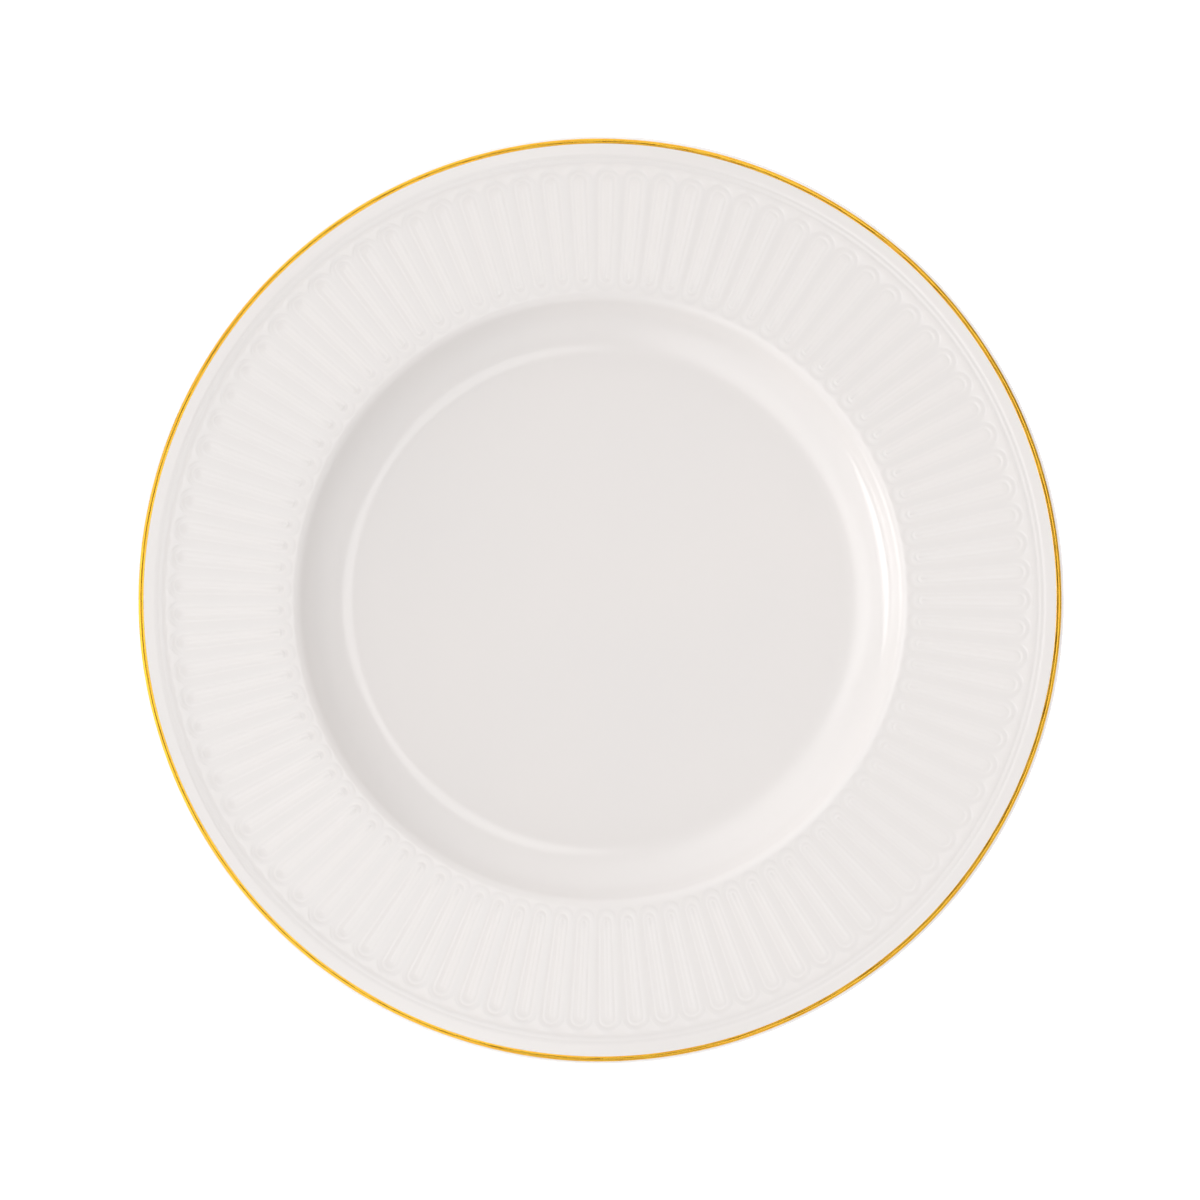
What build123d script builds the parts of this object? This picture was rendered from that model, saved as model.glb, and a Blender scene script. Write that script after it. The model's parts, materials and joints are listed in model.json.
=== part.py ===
from build123d import *
import os
from math import cos, pi, radians, sin, tan

# A porcelain dinner plate: a pressed body with a ring of moulded flutes, its fired glaze, and a
# line of gold fired on top of the glaze. The body and the glaze share one section, a glaze apart.
# Millimetres, +Z up, origin at the centre of the foot ring on the plane that the plate stands on.

# Driving dimensions, measured on the glazed surface
plate_radius = 135.0
plate_height = 24.0
rim_thickness = 3.4
rim_slope = 8.0
floor_thickness = 4.2
floor_radius = 71.0           # flat floor, up to where the well wall starts to rise
wall_radius = 19.0            # concave arc of the well wall, from the floor
wall_slope = 58.0             # steepest slope, where the wall meets the shoulder
wall_thickness = 4.6
shoulder_radius = 4.0         # convex arc from the wall to the rim
shoulder_back_radius = 3.0

foot_inner_radius = 69.0
foot_width = 3.0
foot_splay = 1.6              # how far each side of the foot leans out over the foot's height
foot_round = 0.8
foot_root_round = 1.2         # where the foot meets the back of the plate

glaze_thickness = 0.3
bare_foot_height = 0.6        # the glaze is wiped off below this

flute_count = 93
flute_inner_radius = 93.4
flute_outer_radius = 126.0
flute_share = 0.6             # width of a flute, as a share of its pitch
relief_height = 0.25
relief_root = 0.15            # how deep the relief is rooted in the surface that carries it

ring_bead_radii = (129.8, 128.0)
ring_bead_width = 1.0

gold_inner_radius = 132.6
gold_outer_radius = 134.1
gold_thickness = 0.08

# Dimensions that follow
slope_rise = tan(radians(rim_slope))
sin_rim, cos_rim = sin(radians(rim_slope)), cos(radians(rim_slope))
sin_wall, cos_wall = sin(radians(wall_slope)), cos(radians(wall_slope))

lip_radius = rim_thickness / 2
rim_end_radius = plate_radius - lip_radius * (1 + sin_rim)
rim_end_height = plate_height - lip_radius * (1 - cos_rim)
rim_start_radius = floor_radius + wall_radius * sin_wall + shoulder_radius * (sin_wall - sin_rim)
rim_start_height = rim_end_height - (rim_end_radius - rim_start_radius) * slope_rise
wall_rise = wall_radius * (1 - cos_wall) + shoulder_radius * (cos_rim - cos_wall)
floor_height = rim_start_height - wall_rise
recess_height = floor_height - floor_thickness

wall_centre_height = floor_height + wall_radius
wall_back_radius = wall_radius + wall_thickness
wall_back_top = (
    floor_radius + wall_back_radius * sin_wall,
    wall_centre_height - wall_back_radius * cos_wall,
)
rim_back_end = (
    wall_back_top[0] + shoulder_back_radius * (sin_wall - sin_rim),
    wall_back_top[1] + shoulder_back_radius * (cos_rim - cos_wall),
)
foot_outer_radius = foot_inner_radius + foot_width
foot_root_radius = foot_outer_radius + foot_splay
foot_root_height = wall_centre_height - (
    (wall_back_radius**2 - (foot_root_radius - floor_radius) ** 2) ** 0.5
)
flute_pitch = 2 * pi / flute_count

# A ring bead is the cap of a round cord sunk in the rim.
ring_bead_radius = (ring_bead_width**2 / 4 + relief_height**2) / (2 * relief_height)
ring_bead_sink = ring_bead_radius - relief_height

# The plane that touches the rim's cone along +X.
rim_plane = Plane(
    origin=(0, 0, rim_end_height - rim_end_radius * slope_rise),
    x_dir=(cos_rim, 0, sin_rim),
    z_dir=(-sin_rim, 0, cos_rim),
)

os.makedirs("parts", exist_ok=True)


def rim_height(radius):
    """Height of the plain rim surface at this radius."""
    return rim_end_height - (rim_end_radius - radius) * slope_rise


def add_ring_beads(depth):
    """Add the section of the ring beads to the open sketch, this far below the glazed surface."""
    for radius in ring_bead_radii:
        with Locations((radius, rim_height(radius) - ring_bead_sink - depth)):
            Circle(ring_bead_radius)


def flute_slot():
    """Long slot that points at the axis: round ends, and sides that are radial lines."""
    half_width = sin(flute_share * flute_pitch / 2)
    inner_centre = flute_inner_radius / (1 - half_width)
    outer_centre = flute_outer_radius / (1 + half_width)
    with BuildSketch() as slot:
        with Locations((inner_centre, 0)):
            Circle(inner_centre * half_width)
        with Locations((outer_centre, 0)):
            Circle(outer_centre * half_width)
        make_hull()
    return slot.sketch


def flute_relief(depth):
    """One flute's raised tongue, rooted in the rim this far below the glazed surface."""
    with BuildPart() as relief:
        with BuildSketch(rim_plane.offset(-depth - relief_root)):
            add(flute_slot())
        extrude(amount=relief_root + relief_height)
    return relief.part


# Section of the glazed plate: out over the face, round the lip, and back along the underside to
# the foot ring and the recess inside it.
with BuildSketch(Plane.XZ) as plate_section:
    with BuildLine():
        floor = Line((0, floor_height), (floor_radius, floor_height))
        wall = JernArc(floor @ 1, (1, 0), wall_radius, wall_slope)
        shoulder = JernArc(wall @ 1, wall % 1, shoulder_radius, rim_slope - wall_slope)
        rim = Line(shoulder @ 1, (rim_end_radius, rim_end_height))
        lip = JernArc(rim @ 1, rim % 1, lip_radius, -180)
        rim_back = Line(lip @ 1, rim_back_end)
        TangentArc(rim_back @ 1, wall_back_top, tangent=rim_back % 1)
        RadiusArc(wall_back_top, (foot_root_radius, foot_root_height), wall_back_radius)
        Polyline(
            (foot_root_radius, foot_root_height),
            (foot_outer_radius, 0),
            (foot_inner_radius, 0),
            (foot_inner_radius - foot_splay, recess_height),
            (0, recess_height),
            floor @ 0,
        )
    make_face()
    foot_bottom = plate_section.vertices().filter_by_position(Axis.Y, -0.1, 0.1)
    fillet(foot_bottom, foot_round)
    foot_root = [
        corner
        for corner in plate_section.vertices().filter_by_position(Axis.Y, 2, recess_height + 0.1)
        if corner.X > 1
    ]
    fillet(foot_root, foot_root_round)

# porcelain body: the section inside the glaze, and the bare foot where there is none
with BuildSketch() as bare_foot:
    add(plate_section.sketch_local)
    with Locations((foot_inner_radius, 0)):
        Rectangle(
            4 * foot_width, bare_foot_height, align=(Align.CENTER, Align.MIN), mode=Mode.INTERSECT
        )

with BuildSketch(Plane.XZ) as body_section:
    add(plate_section.sketch_local)
    offset(amount=-glaze_thickness)
    # the offset has drawn back from the axis as well, so the middle of the floor is put back
    with Locations((0, recess_height + glaze_thickness)):
        Rectangle(
            floor_radius / 2,
            floor_thickness - 2 * glaze_thickness,
            align=(Align.MIN, Align.MIN),
        )
    add(bare_foot.sketch)
    add_ring_beads(glaze_thickness)

body_relief = flute_relief(glaze_thickness)
with BuildPart() as porcelain_body:
    add(body_section.sketch)
    revolve(axis=Axis.Z)
    with PolarLocations(0, flute_count):
        add(body_relief)
porcelain_body.part.label = "porcelain_body"
export_step(porcelain_body.part, "parts/porcelain_body.step")

# The glaze is what the plate's section holds beyond the body. The bare foot parts it in two.
with BuildSketch(Plane.XZ) as glaze_section:
    add(plate_section.sketch_local)
    add_ring_beads(0)
    add(body_section.sketch_local, mode=Mode.SUBTRACT)
recess_glaze_section, coat_section = glaze_section.faces().sort_by(SortBy.AREA)

# glaze coat: over the face, round the lip, and over the back down to the foot ring
coat_relief = flute_relief(0)
with BuildPart() as glaze_coat:
    with BuildSketch(Plane.XZ):
        add(coat_section)
    revolve(axis=Axis.Z)
    with PolarLocations(0, flute_count):
        add(coat_relief)
    with PolarLocations(0, flute_count):
        add(body_relief, mode=Mode.SUBTRACT)
glaze_coat.part.label = "glaze_coat"
export_step(glaze_coat.part, "parts/glaze_coat.step")

# foot recess glaze: the patch under the floor, inside the foot ring
with BuildPart() as foot_recess_glaze:
    with BuildSketch(Plane.XZ):
        add(recess_glaze_section)
    revolve(axis=Axis.Z)
foot_recess_glaze.part.label = "foot_recess_glaze"
export_step(foot_recess_glaze.part, "parts/foot_recess_glaze.step")

# gold rim line: a band of gold fired on the glaze just inside the lip
with BuildSketch(Plane.XZ) as gold_section:
    add(plate_section.sketch_local)
    offset(amount=gold_thickness)
    add(plate_section.sketch_local, mode=Mode.SUBTRACT)
    with Locations((gold_inner_radius, plate_height)):
        Rectangle(
            gold_outer_radius - gold_inner_radius,
            rim_thickness,
            align=(Align.MIN, Align.CENTER),
            mode=Mode.INTERSECT,
        )
with BuildPart() as gold_rim_line:
    add(gold_section.sketch)
    revolve(axis=Axis.Z)
gold_rim_line.part.label = "gold_rim_line"
export_step(gold_rim_line.part, "parts/gold_rim_line.step")
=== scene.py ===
"""China dinner plate: fluted porcelain under glaze, with a gold line just inside the lip.

The CAD frame gives the plate's place and size. Every surface is made here again at full detail:
the moulded flutes and bead rings of the rim, the glaze, the bare foot and the fired gold.
Lengths are in millimetres until a mesh is made, except in the studio, which is in metres.
"""
import json
import math

import bmesh
import bpy
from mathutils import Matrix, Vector, noise


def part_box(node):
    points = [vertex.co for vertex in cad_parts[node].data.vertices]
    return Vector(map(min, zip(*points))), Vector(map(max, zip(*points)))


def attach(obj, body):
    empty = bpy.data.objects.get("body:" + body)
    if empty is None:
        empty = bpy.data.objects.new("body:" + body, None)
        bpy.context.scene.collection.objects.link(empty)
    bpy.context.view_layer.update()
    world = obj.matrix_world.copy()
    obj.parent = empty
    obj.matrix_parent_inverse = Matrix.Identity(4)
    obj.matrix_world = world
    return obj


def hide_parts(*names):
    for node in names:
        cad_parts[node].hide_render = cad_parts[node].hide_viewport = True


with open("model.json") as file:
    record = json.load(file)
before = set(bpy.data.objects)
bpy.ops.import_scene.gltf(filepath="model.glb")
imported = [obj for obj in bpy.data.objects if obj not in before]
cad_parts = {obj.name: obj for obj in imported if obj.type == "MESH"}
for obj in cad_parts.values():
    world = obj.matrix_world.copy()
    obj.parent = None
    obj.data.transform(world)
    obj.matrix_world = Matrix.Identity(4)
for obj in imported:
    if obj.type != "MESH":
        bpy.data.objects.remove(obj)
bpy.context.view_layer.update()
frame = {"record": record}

MM = 0.001

# ---------------------------------------------------------------- the plate's section, as in CAD
mounts = {mount["name"]: mount for mount in frame["record"]["mounts"]}
glaze_low, glaze_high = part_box("glaze_coat")
FLOOR_HEIGHT = mounts["well_floor"]["pos_m"][2] / MM
PLATE_RADIUS = glaze_high.x / MM
PLATE_HEIGHT = glaze_high.z / MM
BARE_FOOT_HEIGHT = glaze_low.z / MM

RIM_SLOPE = math.radians(8)
RIM_THICKNESS = 3.4
FLOOR_RADIUS = 71.0               # flat floor, up to where the well wall starts to rise
FLOOR_THICKNESS = 4.2
WALL_RADIUS = 19.0                # concave arc of the well wall
WALL_SLOPE = math.radians(58)
WALL_THICKNESS = 4.6
SHOULDER_RADIUS = 4.0             # convex arc from the wall to the rim
SHOULDER_BACK_RADIUS = 3.0
FOOT_INNER = 69.0
FOOT_OUTER = 72.0
FOOT_SPLAY = 1.6                  # how far each side of the foot leans out
FOOT_ROUND = 0.455                # from the foot's sharp corner to where its rounding starts
FOOT_ROOT_ROUND = 1.3

GLAZE = 0.3                       # over the clay, whose moulding it follows
GLAZE_ROOT = 0.34                 # depth of the coat's inside, under all its moulding
GLAZE_EDGE_ROUND = 0.15           # where the glaze ends, just above the bare foot

LIP_RADIUS = RIM_THICKNESS / 2
RIM_END = PLATE_RADIUS - LIP_RADIUS * (1 + math.sin(RIM_SLOPE))
RIM_END_HEIGHT = PLATE_HEIGHT - LIP_RADIUS * (1 - math.cos(RIM_SLOPE))
WALL_TOP = FLOOR_RADIUS + WALL_RADIUS * math.sin(WALL_SLOPE)
RIM_START = WALL_TOP + SHOULDER_RADIUS * (math.sin(WALL_SLOPE) - math.sin(RIM_SLOPE))
RECESS_HEIGHT = FLOOR_HEIGHT - FLOOR_THICKNESS
WALL_BACK_RADIUS = WALL_RADIUS + WALL_THICKNESS
FOOT_ROOT = FOOT_OUTER + FOOT_SPLAY


def rim_height(radius):
    """Height of the plain rim surface."""
    return RIM_END_HEIGHT - (RIM_END - radius) * math.tan(RIM_SLOPE)


WALL_CENTRE = (FLOOR_RADIUS, FLOOR_HEIGHT + WALL_RADIUS)
SHOULDER_CENTRE = (
    RIM_START + SHOULDER_RADIUS * math.sin(RIM_SLOPE),
    rim_height(RIM_START) - SHOULDER_RADIUS * math.cos(RIM_SLOPE),
)
LIP_CENTRE = (
    RIM_END + LIP_RADIUS * math.sin(RIM_SLOPE),
    RIM_END_HEIGHT - LIP_RADIUS * math.cos(RIM_SLOPE),
)
SHOULDER_BACK_CENTRE = (
    WALL_CENTRE[0] + (WALL_BACK_RADIUS + SHOULDER_BACK_RADIUS) * math.sin(WALL_SLOPE),
    WALL_CENTRE[1] - (WALL_BACK_RADIUS + SHOULDER_BACK_RADIUS) * math.cos(WALL_SLOPE),
)
FOOT_ROOT_HEIGHT = WALL_CENTRE[1] - math.sqrt(
    WALL_BACK_RADIUS**2 - (FOOT_ROOT - FLOOR_RADIUS) ** 2
)
FOOT_ROOT_TILT = math.asin((FOOT_ROOT + FOOT_ROOT_ROUND - FLOOR_RADIUS) / WALL_BACK_RADIUS)
LEDGE_TILT = math.radians(17)     # where the shoulder passes from moulded rim to plain wall
HOLD = 0.6                        # distance from a bend to the ring that keeps the next part flat

FOOT_PRINT_RADIUS = 69.0          # faint ring in the floor where the foot held it in firing
FOOT_PRINT_HALF_WIDTH = 1.0
FOOT_PRINT_HEIGHT = 0.006
FOOT_PRINT_ROWS = [FOOT_PRINT_RADIUS + step * FOOT_PRINT_HALF_WIDTH / 2 for step in range(2, -3, -1)]
FLOOR_ROWS = (55.0, 30.0, 10.0)
RECESS_ROWS = (50.0, 25.0)
INNER_RIM_ROWS = (128.0, 110.0, 95.0)            # of the coat's plain inside
SHOULDER_STEPS = 6
WALL_STEPS = 14

# ---------------------------------------------------------------- the rim's moulding
# Each flute is one pitch wide. Across it, from the middle: a rounded tongue, a groove, the bead
# that outlines it, and a trough shared with the next flute. Each end closes in half circles.
# Relief is height above the plain rim. u is the place across a flute, -0.5 to 0.5 of a pitch.
FLUTES = 93
PITCH = 2 * math.pi / FLUTES
TROUGH_DEPTH = 0.095

# A station is one line along the flute: its half width as a share of the pitch, the radii of its
# inner and outer ends, and its relief at the sides, the inner end and the outer end.
STATIONS = (
    (0.014, 93.80, 121.0, 0.026, 0.070, 0.030),      # middle of the tongue, a fine line
    (0.055, 93.70, 121.4, 0.047, 0.055, 0.050),      # the tongue's crest
    (0.088, 93.60, 121.8, 0.040, 0.025, 0.035),      # its shoulder
    (0.150, 93.40, 122.7, -0.018, -0.070, -0.030),   # its flank
    (0.215, 92.95, 123.5, -0.072, -0.150, -0.100),   # groove
    (0.285, 92.15, 124.1, -0.015, 0.040, 0.025),     # outline bead
    (0.355, 91.35, 124.8, -0.078, -0.065, -0.085),   # foot of the bead
    (0.440, 90.50, 125.3, -0.095, -0.080, -0.105),   # trough
    (0.500, 89.70, 125.9, -0.095, 0.000, -0.070),    # line that parts this flute from the next
)
GROOVE_STATION = 4
RINGS_PER_STATION = 2
QUARTER_STEPS = 5                 # steps round each quarter circle of an end
SIDE_PLACES = (0.0, 0.8, 2.4, 7.0)               # distances along the side from each end
FLUTE_MIDDLE = (STATIONS[-1][1] + STATIONS[-1][2]) / 2

# How far the tongue sinks towards its inner tip, by radius. The tip itself is a small pearl.
TIP_SAG = ((92.5, 0.16), (93.2, 0.16), (93.8, 0.095), (94.7, 0.165), (98.0, 0.0))

# Between the flutes' outer ends and the plain band: a groove, a bead and a step up.
RING_LEVELS = (
    (122.00, -TROUGH_DEPTH),
    (125.60, -0.060),
    (126.40, -0.050),
    (127.60, -0.130),
    (128.20, -0.045),
    (128.90, -0.100),
    (129.80, 0.005),
    (130.30, 0.000),
)
RING_ROWS = (  # outer radius of each stretch, and its rows
    (126.60, 6),
    (127.60, 2),
    (128.20, 2),
    (128.90, 2),
    (129.80, 3),
    (130.30, 1),
    (131.50, 1),
    (132.75, 1),
)
SPANDREL_HEIGHT = 0.15            # of the boss between two flutes' outer ends
SPANDREL_RADII = (122.8, 125.8, 126.1, 127.5)    # where it starts, crests, falls and is gone
SPANDREL_SHARE = (0.10, 0.43)     # places across a flute where the boss starts and is full
CREASE_HEIGHT = 0.020             # thin ridge that runs in from the boss between two flutes
CREASE_REACH = 2.0                # how far in from the boss it starts
CREASE_FADE = 1.5                 # distance over which it rises, and later sinks
CREASE_SHARE = (0.46, 0.50)       # places across a flute where it starts and is full
LEDGE_RAMP = (90.0, 94.0)         # radii where the ramp from the ledge to the troughs runs

# ---------------------------------------------------------------- the gold
GOLD_INNER = 132.6
GOLD_OUTER = 134.1
GOLD_THICKNESS = 0.045
GOLD_ROOT = 0.02
GOLD_SHARES = (0.01, 0.06, 0.18, 0.4, 0.6, 0.82, 0.94, 0.99)
GOLD_COLUMNS = 744
GOLD_WANDER = 0.06
GOLD_WANDER_RATE = 5.0
BRUSH_LENGTH = 40.0               # how much longer than wide the gold's brush lines are

# ---------------------------------------------------------------- colours, linear
GLAZE_WARM = (0.866, 0.827, 0.806)
GLAZE_COOL = (0.855, 0.820, 0.802)
# painted shade: the glaze's colour where the moulding is low
GLAZE_PAINTED_SHADE = (0.838, 0.803, 0.785)
BISQUE_PALE = (0.80, 0.775, 0.73)
BISQUE_DARK = (0.72, 0.69, 0.64)
BISQUE_RUBBED = (0.42, 0.41, 0.40)
GOLD_BRIGHT = (0.95, 0.55, 0.06)
GOLD_DEEP = (0.88, 0.48, 0.045)
GOLD_WARM = (0.90, 0.46, 0.05)
PAPER_PALE = (0.93, 0.93, 0.93)
PAPER_DARK = (0.90, 0.90, 0.90)
WHITE = (1.0, 1.0, 1.0, 1.0)      # with its alpha

# ---------------------------------------------------------------- studio, in metres
CAMERA_DISTANCE = 1.6
SENSOR_WIDTH = 36.0               # of the camera, in millimetres
VIEW_WIDTH = 0.349                # width of the picture at the height of the rim
FLOOR_REACH = 6.0
PAPER_GLOW = 0.5
BACKDROP_GLOW = 1.2
# The banks were fitted to the shading of the photographed plate, then rounded.
AMBIENT = 0.04
LIGHT_BANKS = (  # azimuth from +X, elevation, half width, width of its soft edge, radiance
    (0, 73, 6, 6, 2.1),           # overhead, three panels side by side
    (60, 73, 6, 6, 1.95),
    (300, 73, 6, 6, 1.65),
    (180, 73, 6, 6, -0.6),        # gap between them and the left panels
    (180, 55, 10, 10, 1.0),       # high on the left, three panels
    (135, 52, 12, 12, 0.55),
    (230, 58, 10, 10, 0.7),
    (213, 37, 27, 17, 1.0),       # front left
    (189, -5, 16, 10, 4.5),       # low on the left
    (99, 8, 25, 59, 1.25),        # behind
    (316, 13, 26, 43, 0.75),      # fill from the right
    (0, 20, 20, 20, 0.25),
    (270, 30, 16, 14, 0.35),      # front
)


# ---------------------------------------------------------------- shapes of the face
def mix(first, second, share):
    return first + (second - first) * share


def smooth(value):
    """0 below 0, 1 above 1, and an even ease between."""
    value = min(max(value, 0.0), 1.0)
    return value * value * (3 - 2 * value)


def smooth_between(ends, value):
    """0 before the first end, 1 after the second, and an even ease between."""
    return smooth((value - ends[0]) / (ends[1] - ends[0]))


def eased(table, value):
    """Reads a table of (place, level) with an even ease from each row to the next."""
    if value <= table[0][0]:
        return table[0][1]
    for (low, low_level), (high, high_level) in zip(table, table[1:]):
        if value <= high:
            return mix(low_level, high_level, smooth((value - low) / (high - low)))
    return table[-1][1]


def arc(centre, radius, first, last, steps, hollow=False):
    """Section points along an arc, by the slope of the surface there. Hollow arcs turn up."""
    side = -radius if hollow else radius
    slopes = [mix(first, last, step / steps) for step in range(steps + 1)]
    return [(centre[0] - side * math.sin(s), centre[1] + side * math.cos(s)) for s in slopes]


def face_height(radius, depth=0.0):
    """Height of the face without its moulding, this far below the glazed surface."""
    if radius <= FLOOR_RADIUS:
        ring = smooth(1 - abs(radius - FOOT_PRINT_RADIUS) / FOOT_PRINT_HALF_WIDTH)
        return FLOOR_HEIGHT - depth + FOOT_PRINT_HEIGHT * ring
    wall_radius = WALL_RADIUS + depth
    if radius < FLOOR_RADIUS + wall_radius * math.sin(WALL_SLOPE):
        return WALL_CENTRE[1] - math.sqrt(wall_radius**2 - (radius - FLOOR_RADIUS) ** 2)
    shoulder_radius = SHOULDER_RADIUS - depth
    if radius < SHOULDER_CENTRE[0] - shoulder_radius * math.sin(RIM_SLOPE):
        reach = SHOULDER_CENTRE[0] - radius
        return SHOULDER_CENTRE[1] + math.sqrt(shoulder_radius**2 - reach**2)
    return rim_height(radius) - depth / math.cos(RIM_SLOPE)


def outer_relief(radius, u):
    """Relief beyond the flutes' outer ends: the bead rings and the bosses between flutes."""
    start, crest, fall, end = SPANDREL_RADII
    along = smooth((radius - start) / (crest - start)) * smooth((end - radius) / (end - fall))
    across = smooth_between(SPANDREL_SHARE, abs(u))
    rise = smooth((radius - start + CREASE_REACH) / CREASE_FADE)
    sink = 1 - smooth((radius - start) / CREASE_FADE)
    crease = CREASE_HEIGHT * rise * sink * smooth_between(CREASE_SHARE, abs(u))
    return eased(RING_LEVELS, radius) + SPANDREL_HEIGHT * along * across + crease


def inner_relief(radius):
    """Relief between the flutes' inner ends, which ramps up to the plain ledge."""
    return -TROUGH_DEPTH * smooth_between(LEDGE_RAMP, radius)


def field_relief(radius, u):
    """Relief of the ground that the flutes stand on."""
    return outer_relief(radius, u) if radius > FLUTE_MIDDLE else inner_relief(radius)


# ---------------------------------------------------------------- mesh making
FACE_COLUMNS = FLUTES * QUARTER_STEPS * 2
WALL_COLUMNS = FLUTES * QUARTER_STEPS
BACK_COLUMNS = FLUTES * 2
CORE_COLUMNS = FLUTES
WELD = 0.001                      # points closer than this become one


def column_angle(column, count):
    """Angle of a column. Column 0 lies between two flutes, whatever the count."""
    return 2 * math.pi * column / count - PITCH / 2


def flute_share(angle):
    """Place across a flute, -0.5 to 0.5 of a pitch."""
    return (angle / PITCH + 0.5) % 1 - 0.5


class Skin:
    """Collects the points and faces of one closed skin, in millimetres."""

    def __init__(self):
        self.points = []
        self.relief = []
        self.faces = []

    def point(self, radius, angle, height, relief=0.0):
        self.points.append((radius * math.cos(angle), radius * math.sin(angle), height))
        self.relief.append(relief)
        return len(self.points) - 1

    def bridge(self, first, second):
        """Joins two rings. One may have a whole number of times as many points as the other."""
        few, many = sorted((first, second), key=len)
        times = len(many) // len(few)
        for i, corner in enumerate(few):
            edge = [many[(i * times + k) % len(many)] for k in range(times, -1, -1)]
            self.faces.append((corner, few[(i + 1) % len(few)], *edge))
        return second

    def lathe(self, section, count, ring=None):
        """Adds a plain ring for each (radius, height), each joined to the one before."""
        for radius, height in section:
            fresh = [self.point(radius, column_angle(i, count), height) for i in range(count)]
            ring = self.bridge(ring, fresh) if ring else fresh
        return ring

    def cap(self, ring, height):
        """Closes a ring with a fan of faces that meet on the axis."""
        middle = self.point(0.0, 0.0, height)
        for i, corner in enumerate(ring):
            self.faces.append((corner, ring[(i + 1) % len(ring)], middle))

    def build(self, name, material, node):
        """Makes the Blender object, attaches it to the root body and hides the CAD part it stands for.
        """
        mesh = bpy.data.meshes.new(name)
        mesh.from_pydata([Vector(point) * MM for point in self.points], [], self.faces)
        mesh.attributes.new("relief", "FLOAT", "POINT").data.foreach_set("value", self.relief)
        work = bmesh.new()
        work.from_mesh(mesh)
        bmesh.ops.remove_doubles(work, verts=work.verts, dist=WELD * MM)
        bmesh.ops.recalc_face_normals(work, faces=work.faces)
        for face in work.faces:
            face.smooth = True
        work.to_mesh(mesh)
        work.free()
        mesh.materials.append(material)
        piece = bpy.data.objects.new(name, mesh)
        bpy.context.scene.collection.objects.link(piece)
        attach(piece, "root")
        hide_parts(node)
        return piece


# ---------------------------------------------------------------- the flutes
def station(place):
    """The line at a fractional place in STATIONS."""
    index = min(int(place), len(STATIONS) - 2)
    share = place - index
    return [mix(low, high, share) for low, high in zip(STATIONS[index], STATIONS[index + 1])]


def flute_line(place):
    """Half of a closed line round a flute, outer end to inner end, as (radius, angle, relief)."""
    share, inner, outer, side_level, inner_level, outer_level = station(place)
    half_angle = share * PITCH
    spread = math.sin(half_angle)
    line = []

    def end_arc(end, facing, level):
        """A quarter of the round end that faces out (1) or in (-1), from its tip to the side."""
        centre = end / (1 + facing * spread)
        quarter = math.pi / 2 + facing * half_angle
        points = []
        for step in range(QUARTER_STEPS):
            turn = quarter * step / QUARTER_STEPS
            x = centre * (1 + facing * spread * math.cos(turn))
            y = centre * spread * math.sin(turn)
            relief = mix(level, side_level, smooth(step / QUARTER_STEPS))
            points.append((math.hypot(x, y), math.atan2(y, x), relief))
        return points, centre * math.cos(half_angle)

    outer_end, outer_side = end_arc(outer, 1, outer_level)
    inner_end, inner_side = end_arc(inner, -1, inner_level)
    line += outer_end
    line += [(outer_side - along, half_angle, side_level) for along in SIDE_PLACES]
    line += [(inner_side + along, half_angle, side_level) for along in reversed(SIDE_PLACES)]
    line += reversed(inner_end)
    return line


def flute_lines():
    """All the half lines of one flute, from the middle of its tongue out to its edge."""
    edge = len(STATIONS) - 1
    lines = []
    for step in range(edge * RINGS_PER_STATION):
        place = step / RINGS_PER_STATION
        tongue = 1 - smooth(place / GROOVE_STATION)
        lines.append([(r, a, level - tongue * eased(TIP_SAG, r)) for r, a, level in flute_line(place)])
    lines.append([(r, a, field_relief(r, a / PITCH)) for r, a, _ in flute_line(edge)])
    return lines


def add_flutes(skin, depth):
    """Adds every flute, and returns the rings of points along their outer and inner ends."""
    lines = flute_lines()
    outer_ring, inner_ring = [], []
    for flute in range(FLUTES):
        right, left = [
            [
                [
                    skin.point(r, flute * PITCH + side * a, face_height(r, depth) + level, level)
                    for r, a, level in line
                ]
                for line in lines
            ]
            for side in (-1, 1)
        ]
        bands = [*zip(right, right[1:]), *zip(left, left[1:]), (left[0], right[0])]
        for inside, outside in bands:
            for i in range(len(inside) - 1):
                skin.faces.append((inside[i], inside[i + 1], outside[i + 1], outside[i]))
        right_edge, left_edge = right[-1], left[-1]
        outer_ring += right_edge[QUARTER_STEPS:0:-1] + left_edge[:QUARTER_STEPS]
        inner_ring += right_edge[-1 - QUARTER_STEPS : -1] + left_edge[: -1 - QUARTER_STEPS : -1]
    return outer_ring, inner_ring


def add_field(skin, ring, target, rows, depth):
    """Adds moulded rows from the flutes' round ends to a circle, with the columns evened out."""
    start = []
    for column, index in enumerate(ring):
        x, y, _ = skin.points[index]
        even = column_angle(column, len(ring))
        lead = (math.atan2(y, x) - even + math.pi) % (2 * math.pi) - math.pi
        start.append((math.hypot(x, y), even, lead))
    for row in range(1, rows + 1):
        share = row / rows
        fresh = []
        for radius, even, lead in start:
            radius = mix(radius, target, share)
            angle = even + lead * (1 - share)
            level = field_relief(radius, flute_share(angle))
            fresh.append(skin.point(radius, angle, face_height(radius, depth) + level, level))
        ring = skin.bridge(ring, fresh)
    return ring


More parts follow.
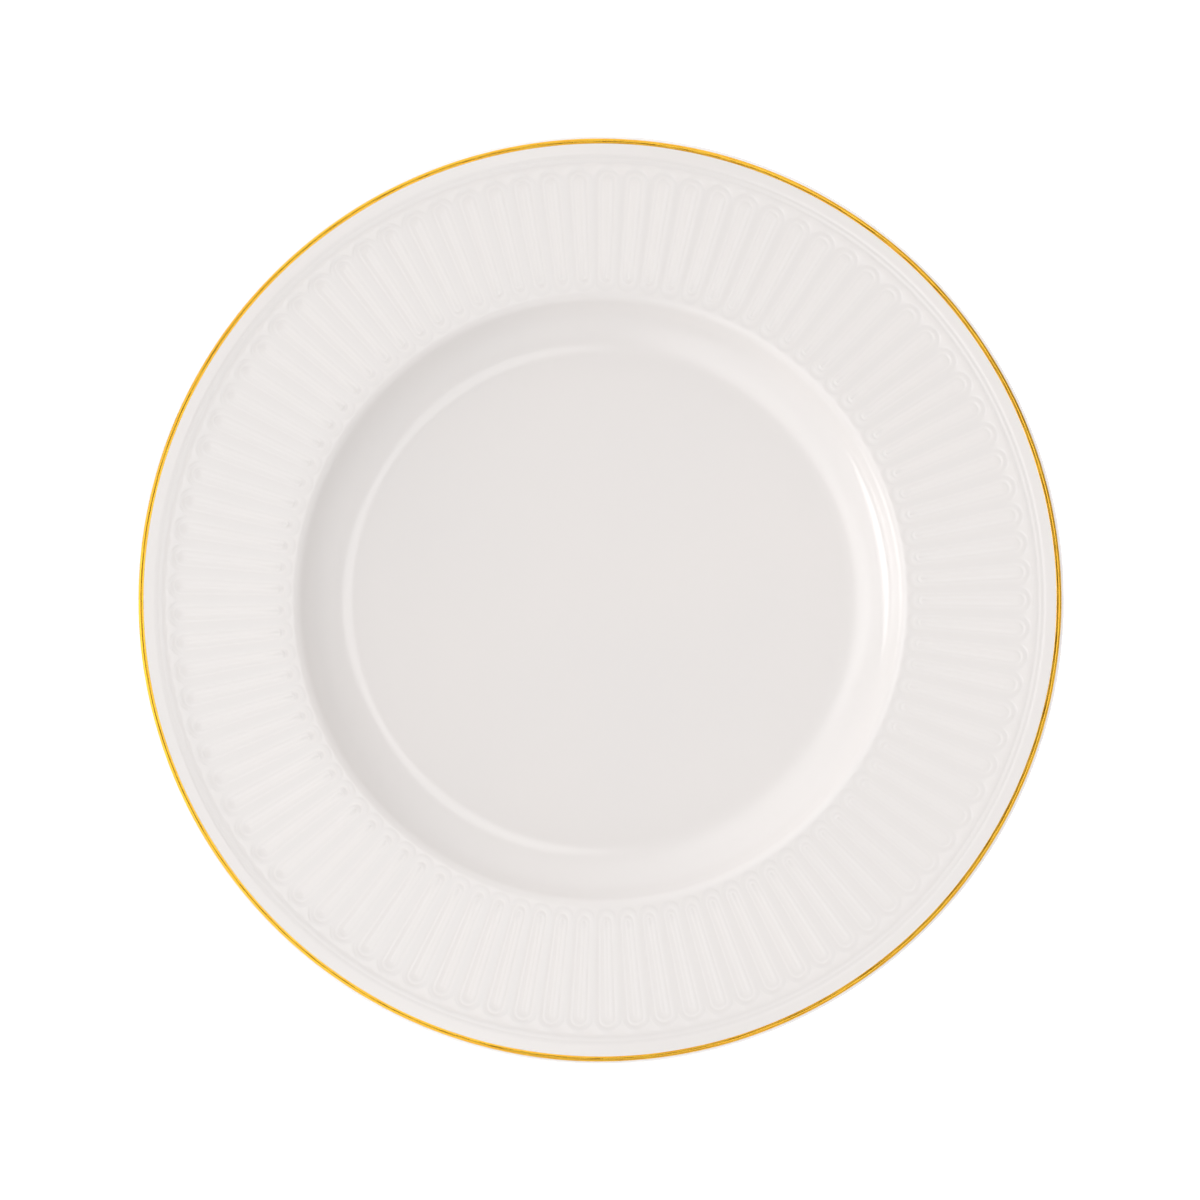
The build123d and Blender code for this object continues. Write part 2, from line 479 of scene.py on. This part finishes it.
def add_face(skin, depth=0.0):
    """Adds the plate's moulded face, this far below the glazed surface. Returns its outer ring."""
    outer_ring, inner_ring = add_flutes(skin, depth)

    shoulder = arc(SHOULDER_CENTRE, SHOULDER_RADIUS - depth, LEDGE_TILT, WALL_SLOPE, SHOULDER_STEPS)
    wall = arc(WALL_CENTRE, WALL_RADIUS + depth, WALL_SLOPE, 0, WALL_STEPS, hollow=True)
    ring = add_field(skin, inner_ring, shoulder[0][0], 3, depth)
    ring = skin.lathe(shoulder[1:], FACE_COLUMNS, ring)
    ring = skin.lathe(wall[1:], WALL_COLUMNS, ring)
    ring = skin.lathe([(r, face_height(r, depth)) for r in FOOT_PRINT_ROWS], WALL_COLUMNS, ring)
    ring = skin.lathe([(r, face_height(r, depth)) for r in FLOOR_ROWS], CORE_COLUMNS, ring)
    skin.cap(ring, face_height(0, depth))

    ring = outer_ring
    for target, rows in RING_ROWS:
        ring = add_field(skin, ring, target, rows, depth)
    return ring


# ---------------------------------------------------------------- the back and the foot
def toward(start, end, distance):
    """The point this far from start on the way to end."""
    share = distance / math.dist(start, end)
    return tuple(mix(a, b, share) for a, b in zip(start, end))


def bend(start, corner, end, steps):
    """Section points along a curve that rounds off a corner, after its first point."""
    shares = [step / steps for step in range(1, steps + 1)]
    return [
        tuple(mix(mix(a, b, t), mix(b, c, t), t) for a, b, c in zip(start, corner, end))
        for t in shares
    ]


def foot_outside(height, depth=0.0):
    """The point of the foot's outer side at this height."""
    lean = FOOT_SPLAY / FOOT_ROOT_HEIGHT
    return FOOT_OUTER + height * lean - depth * math.hypot(1, lean), height


def foot_inside(height, depth=0.0):
    """The point of the foot's inner side at this height."""
    lean = FOOT_SPLAY / RECESS_HEIGHT
    return FOOT_INNER - height * lean + depth * math.hypot(1, lean), height


def lip_to_foot(depth, detail):
    """Section round the lip and down the back to the foot's outer side."""
    lip = arc(LIP_CENTRE, LIP_RADIUS - depth, RIM_SLOPE, RIM_SLOPE - math.pi, 7 * detail)
    elbow = arc(
        SHOULDER_BACK_CENTRE, SHOULDER_BACK_RADIUS + depth, RIM_SLOPE, WALL_SLOPE, 3 * detail
    )
    wall = arc(
        WALL_CENTRE, WALL_BACK_RADIUS - depth, WALL_SLOPE, FOOT_ROOT_TILT, 5 * detail, hollow=True
    )
    root = foot_outside(FOOT_ROOT_HEIGHT + depth, depth)
    side = toward(root, foot_outside(0, depth), FOOT_ROOT_ROUND)
    straight = [toward(lip[-1], elbow[0], HOLD), toward(elbow[0], lip[-1], HOLD)]
    return lip + straight + elbow + wall[1:] + bend(wall[-1], root, side, 2 * detail)


def face_to_floor(depth):
    """Coarse section of the face without moulding, from the rim to the edge of the floor."""
    rim = [(r, face_height(r, depth)) for r in INNER_RIM_ROWS]
    shoulder = arc(SHOULDER_CENTRE, SHOULDER_RADIUS - depth, RIM_SLOPE, WALL_SLOPE, 4)
    wall = arc(WALL_CENTRE, WALL_RADIUS + depth, WALL_SLOPE, 0, 7, hollow=True)
    return rim + shoulder + wall[1:]


def recess(depth, detail):
    """Section under the floor, from the foot's inner side to near the axis."""
    corner = foot_inside(RECESS_HEIGHT + depth, depth)
    side = toward(corner, foot_inside(0, depth), FOOT_ROOT_ROUND)
    ceiling = (corner[0] - FOOT_ROOT_ROUND, corner[1])
    middle = [(r, corner[1]) for r in (ceiling[0] - HOLD, *RECESS_ROWS)]
    return [side] + bend(side, corner, ceiling, 3 * detail) + middle


# ---------------------------------------------------------------- the plate's pieces
def make_glaze_coat(material):
    """The glaze over the face, lip and back, with the whole moulding in its surface."""
    skin = Skin()
    ring = add_face(skin)
    ring = skin.lathe(lip_to_foot(0, 2), BACK_COLUMNS, ring)
    ring = skin.lathe(
        [
            foot_outside(BARE_FOOT_HEIGHT + GLAZE_EDGE_ROUND),
            foot_outside(BARE_FOOT_HEIGHT + GLAZE_EDGE_ROUND / 3, GLAZE_EDGE_ROUND / 3),
            foot_outside(BARE_FOOT_HEIGHT, GLAZE_EDGE_ROUND),
            foot_outside(BARE_FOOT_HEIGHT, GLAZE_ROOT),
        ],
        BACK_COLUMNS,
        ring,
    )
    inside = lip_to_foot(GLAZE_ROOT, 1)[::-1] + face_to_floor(GLAZE_ROOT)
    ring = skin.lathe(inside, CORE_COLUMNS, ring)
    skin.cap(ring, FLOOR_HEIGHT - GLAZE_ROOT)
    return skin.build("glaze_skin", material, "glaze_coat")


def make_porcelain(material):
    """The fired clay under the glaze, moulded like it, with its bare foot."""
    skin = Skin()
    ring = add_face(skin, GLAZE)
    ring = skin.lathe(lip_to_foot(GLAZE, 1), BACK_COLUMNS, ring)
    outer_corner, inner_corner = foot_outside(0), foot_inside(0)
    outer_side, inner_side = foot_outside(BARE_FOOT_HEIGHT), foot_inside(BARE_FOOT_HEIGHT)
    bottom = [toward(outer_corner, inner_corner, FOOT_ROUND)]
    bottom.append(toward(inner_corner, outer_corner, FOOT_ROUND))
    foot = [foot_outside(BARE_FOOT_HEIGHT, GLAZE), outer_side]
    foot += bend(outer_side, outer_corner, bottom[0], 5) + [bottom[1]]
    foot += bend(bottom[1], inner_corner, inner_side, 5)
    foot.append(foot_inside(BARE_FOOT_HEIGHT, GLAZE))
    ring = skin.lathe(foot + recess(GLAZE, 1), BACK_COLUMNS, ring)
    skin.cap(ring, RECESS_HEIGHT + GLAZE)
    return skin.build("porcelain_skin", material, "porcelain_body")


def make_recess_glaze(material):
    """The round patch of glaze under the floor, inside the foot ring."""
    skin = Skin()
    edge = [
        foot_inside(BARE_FOOT_HEIGHT + GLAZE_EDGE_ROUND),
        foot_inside(BARE_FOOT_HEIGHT + GLAZE_EDGE_ROUND / 3, GLAZE_EDGE_ROUND / 3),
        foot_inside(BARE_FOOT_HEIGHT, GLAZE_EDGE_ROUND),
        foot_inside(BARE_FOOT_HEIGHT, GLAZE),
    ]
    shown = recess(0, 2)
    ring = skin.lathe(shown[::-1] + edge + recess(GLAZE, 1), BACK_COLUMNS)
    skin.cap(list(range(BACK_COLUMNS)), RECESS_HEIGHT)
    skin.cap(ring, RECESS_HEIGHT + GLAZE)
    return skin.build("foot_recess_skin", material, "foot_recess_glaze")


def on_face(radius, lift):
    """Section point this far above the plain band or the lip."""
    tilt = RIM_SLOPE
    if radius > RIM_END:
        tilt = math.asin((LIP_CENTRE[0] - radius) / LIP_RADIUS)
    foot = (radius, rim_height(radius))
    if radius > RIM_END:
        foot = (radius, LIP_CENTRE[1] + LIP_RADIUS * math.cos(tilt))
    return foot[0] - lift * math.sin(tilt), foot[1] + lift * math.cos(tilt)


def make_gold_line(material):
    """The band of gold, laid on with a brush as the plate turned: its edges wander a little."""
    skin = Skin()
    lifts = [GOLD_THICKNESS * math.sin(math.pi * share) ** 0.5 for share in GOLD_SHARES]
    rings = [[] for _ in range(2 * len(GOLD_SHARES))]
    for column in range(GOLD_COLUMNS):
        angle = column_angle(column, GOLD_COLUMNS)
        place = Vector((math.cos(angle), math.sin(angle), 0.0))
        inner = GOLD_INNER + GOLD_WANDER * noise.noise(place * GOLD_WANDER_RATE)
        outer = GOLD_OUTER + GOLD_WANDER * noise.noise(-place * GOLD_WANDER_RATE)
        top = [on_face(mix(inner, outer, s), lift) for s, lift in zip(GOLD_SHARES, lifts)]
        root = [on_face(mix(inner, outer, s), -GOLD_ROOT) for s in reversed(GOLD_SHARES)]
        for ring, (radius, height) in zip(rings, top + root):
            ring.append(skin.point(radius, angle, height))
    for i, ring in enumerate(rings):
        skin.bridge(ring, rings[i - 1])
    return skin.build("gold_line", material, "gold_rim_line")


# ---------------------------------------------------------------- materials
class Look:
    """A material whose Principled shader is fed by procedural nodes."""

    def __init__(self, name, **values):
        self.material = bpy.data.materials.new(name)
        self.material.use_nodes = True
        self.tree = self.material.node_tree
        self.shader = self.tree.nodes["Principled BSDF"]
        self.fill(self.shader, values)
        self.place = self.node("ShaderNodeTexCoord").outputs["Object"]

    def fill(self, node, values):
        for key, value in values.items():
            socket = node.inputs[key if isinstance(key, int) else key.replace("_", " ")]
            if isinstance(value, bpy.types.NodeSocket):
                self.tree.links.new(value, socket)
            else:
                socket.default_value = value

    def node(self, kind, settings=None, values=None):
        node = self.tree.nodes.new(kind)
        for key, value in (settings or {}).items():
            setattr(node, key, value)
        self.fill(node, values or {})
        return node

    def noise(self, size, vector=None, detail=2.0, roughness=0.5):
        """Noise, about 0.3 to 0.7, whose features are about size millimetres across."""
        values = {"Vector": vector or self.place, "Scale": 1 / (size * MM)}
        values |= {"Detail": detail, "Roughness": roughness}
        return self.node("ShaderNodeTexNoise", values=values).outputs["Fac"]

    def spread(self, value, low, high, from_low=0.35, from_high=0.65):
        """Maps a value's middle range to low to high, and holds it there outside."""
        values = {"Value": value, "From_Min": from_low, "From_Max": from_high}
        values |= {"To_Min": low, "To_Max": high}
        return self.node("ShaderNodeMapRange", values=values).outputs["Result"]

    def blend(self, share, first, second):
        """Mixes two colours, which are sockets or (red, green, blue)."""
        node = self.node("ShaderNodeMix", {"data_type": "RGBA"})
        for index, value in ((0, share), (6, first), (7, second)):
            self.fill(node, {index: (*value, 1.0) if isinstance(value, tuple) else value})
        return node.outputs[2]

    def bump(self, height, distance, normal=None):
        """Bump whose full height is distance millimetres."""
        values = {"Height": height, "Distance": distance * MM, "Strength": 1.0}
        if normal:
            values["Normal"] = normal
        return self.node("ShaderNodeBump", values=values).outputs["Normal"]

    def finish(self, colour, roughness, normal):
        self.fill(self.shader, {"Base_Color": colour, "Roughness": roughness, "Normal": normal})
        return self.material


def glaze_material():
    """Clear gloss glaze on warm white porcelain: faint drifts of tone, and painted shade in its
    hollows.
    """
    look = Look("glaze", IOR=1.5)
    colour = look.blend(look.spread(look.noise(60), 0, 1), GLAZE_WARM, GLAZE_COOL)
    relief = look.node("ShaderNodeAttribute", {"attribute_name": "relief"}).outputs["Fac"]
    # painted shade: the colour greys where the moulding's relief is low, in its hollows
    hollow_painted_shade = look.spread(relief, 1.0, 0.0, -TROUGH_DEPTH, 0.0)
    colour = look.blend(hollow_painted_shade, colour, GLAZE_PAINTED_SHADE)
    roughness = look.spread(look.noise(9, detail=4), 0.085, 0.125)
    skin = look.bump(look.noise(2.2), 0.0010)
    drift = look.bump(look.noise(45), 0.06, skin)
    return look.finish(colour, roughness, drift)


def bisque_material():
    """Bare fired porcelain: satin, finely grained, with grey rubs from tables and shelves."""
    look = Look("bisque", IOR=1.5)
    rubs = look.spread(look.noise(5, detail=6, roughness=0.7), 0, 1, 0.54, 0.62)
    grain = look.noise(0.35, detail=3)
    colour = look.blend(look.spread(grain, 0, 1), BISQUE_PALE, BISQUE_DARK)
    colour = look.blend(look.spread(rubs, 0, 0.35, 0, 1), colour, BISQUE_RUBBED)
    roughness = look.spread(rubs, 0.78, 0.60, 0, 1)
    return look.finish(colour, roughness, look.bump(grain, 0.02))


def gold_material():
    """Fired gold, with faint brush lines that run round the plate."""
    look = Look("gold", Metallic=1.0)
    parts = look.node("ShaderNodeSeparateXYZ", values={0: look.place}).outputs
    radius = look.node("ShaderNodeVectorMath", {"operation": "LENGTH"}, {0: look.place})
    angle = look.node("ShaderNodeMath", {"operation": "ARCTAN2"}, {0: parts[1], 1: parts[0]})
    along = look.node(
        "ShaderNodeMath",
        {"operation": "MULTIPLY"},
        {0: angle.outputs[0], 1: PLATE_RADIUS * MM / BRUSH_LENGTH},
    )
    round_place = look.node(
        "ShaderNodeCombineXYZ", values={0: radius.outputs["Value"], 1: along.outputs[0]}
    )
    lines = look.noise(0.22, round_place.outputs[0], detail=3)
    patches = look.noise(7, detail=3)
    colour = look.blend(look.spread(lines, 0, 1), GOLD_DEEP, GOLD_BRIGHT)
    colour = look.blend(look.spread(patches, 0, 0.5), colour, GOLD_WARM)
    roughness = look.spread(lines, 0.20, 0.34)
    return look.finish(colour, roughness, look.bump(lines, 0.004))


def floor_material():
    """White studio paper, lit from behind as well, so that it stays clean up to the plate."""
    look = Look("studio_paper", Emission_Strength=PAPER_GLOW, Roughness=0.9)
    look.fill(look.shader, {"Emission_Color": WHITE})
    colour = look.blend(look.spread(look.noise(80), 0, 1), PAPER_PALE, PAPER_DARK)
    return look.finish(colour, 0.9, look.bump(look.noise(1.5), 0.02))


# ---------------------------------------------------------------- studio
def make_floor(material):
    """A round sheet of paper under the plate."""
    mesh = bpy.data.meshes.new("floor")
    work = bmesh.new()
    bmesh.ops.create_circle(work, cap_ends=True, segments=64, radius=FLOOR_REACH)
    work.to_mesh(mesh)
    work.free()
    mesh.materials.append(material)
    floor = bpy.data.objects.new("floor", mesh)
    bpy.context.scene.collection.objects.link(floor)


def make_backdrop():
    """A white dome that only the camera sees, so that the paper has no horizon."""
    mesh = bpy.data.meshes.new("backdrop")
    work = bmesh.new()
    bmesh.ops.create_icosphere(work, subdivisions=4, radius=FLOOR_REACH)
    work.to_mesh(mesh)
    work.free()
    look = Look("backdrop_white", Roughness=1.0, Emission_Strength=BACKDROP_GLOW)
    look.fill(look.shader, {"Emission_Color": WHITE})
    mesh.materials.append(look.material)
    dome = bpy.data.objects.new("backdrop", mesh)
    bpy.context.scene.collection.objects.link(dome)
    dome.visible_diffuse = False
    dome.visible_glossy = False
    dome.visible_transmission = False
    dome.visible_shadow = False


def add_camera():
    """Looks straight down, with +Y at the top of the picture."""
    data = bpy.data.cameras.new("camera")
    data.sensor_width = SENSOR_WIDTH
    data.lens = SENSOR_WIDTH * CAMERA_DISTANCE / VIEW_WIDTH
    camera = bpy.data.objects.new("camera", data)
    bpy.context.scene.collection.objects.link(camera)
    camera.location = (0.0, 0.0, CAMERA_DISTANCE + LIP_CENTRE[1] * MM)
    bpy.context.scene.camera = camera


def add_light_banks():
    """The studio's light: soft-edged round banks all round the plate, and a little fill."""
    world = bpy.data.worlds.new("studio")
    world.use_nodes = True
    tree = world.node_tree

    def node(kind, settings, values):
        made = tree.nodes.new(kind)
        for key, value in settings.items():
            setattr(made, key, value)
        for key, value in values.items():
            if isinstance(value, bpy.types.NodeSocket):
                tree.links.new(value, made.inputs[key])
            else:
                made.inputs[key].default_value = value
        return made

    direction = tree.nodes.new("ShaderNodeTexCoord").outputs["Generated"]
    total = AMBIENT
    for azimuth, elevation, half_width, edge, radiance in LIGHT_BANKS:
        a, e = math.radians(azimuth), math.radians(elevation)
        middle = (math.cos(a) * math.cos(e), math.sin(a) * math.cos(e), math.sin(e))
        cosine = node("ShaderNodeVectorMath", {"operation": "DOT_PRODUCT"}, {0: direction, 1: middle})
        angle = node("ShaderNodeMath", {"operation": "ARCCOSINE"}, {0: cosine.outputs["Value"]})
        bank = node(
            "ShaderNodeMapRange",
            {"interpolation_type": "SMOOTHSTEP"},
            {
                "Value": angle.outputs[0],
                "From Min": math.radians(half_width + edge),
                "From Max": math.radians(half_width),
                "To Min": 0.0,
                "To Max": radiance,
            },
        )
        added = node("ShaderNodeMath", {"operation": "ADD"}, {0: total, 1: bank.outputs["Result"]})
        total = added.outputs[0]
    lit = node("ShaderNodeMath", {"operation": "MAXIMUM"}, {0: total, 1: 0.0})
    tree.links.new(lit.outputs[0], tree.nodes["Background"].inputs["Strength"])
    tree.nodes["Background"].inputs["Color"].default_value = WHITE
    bpy.context.scene.world = world


glaze = glaze_material()
bisque = bisque_material()
make_glaze_coat(glaze)
make_recess_glaze(glaze)
make_porcelain(bisque)
make_gold_line(gold_material())

make_floor(floor_material())
make_backdrop()
add_light_banks()
add_camera()
bpy.context.scene.view_settings.view_transform = "Standard"
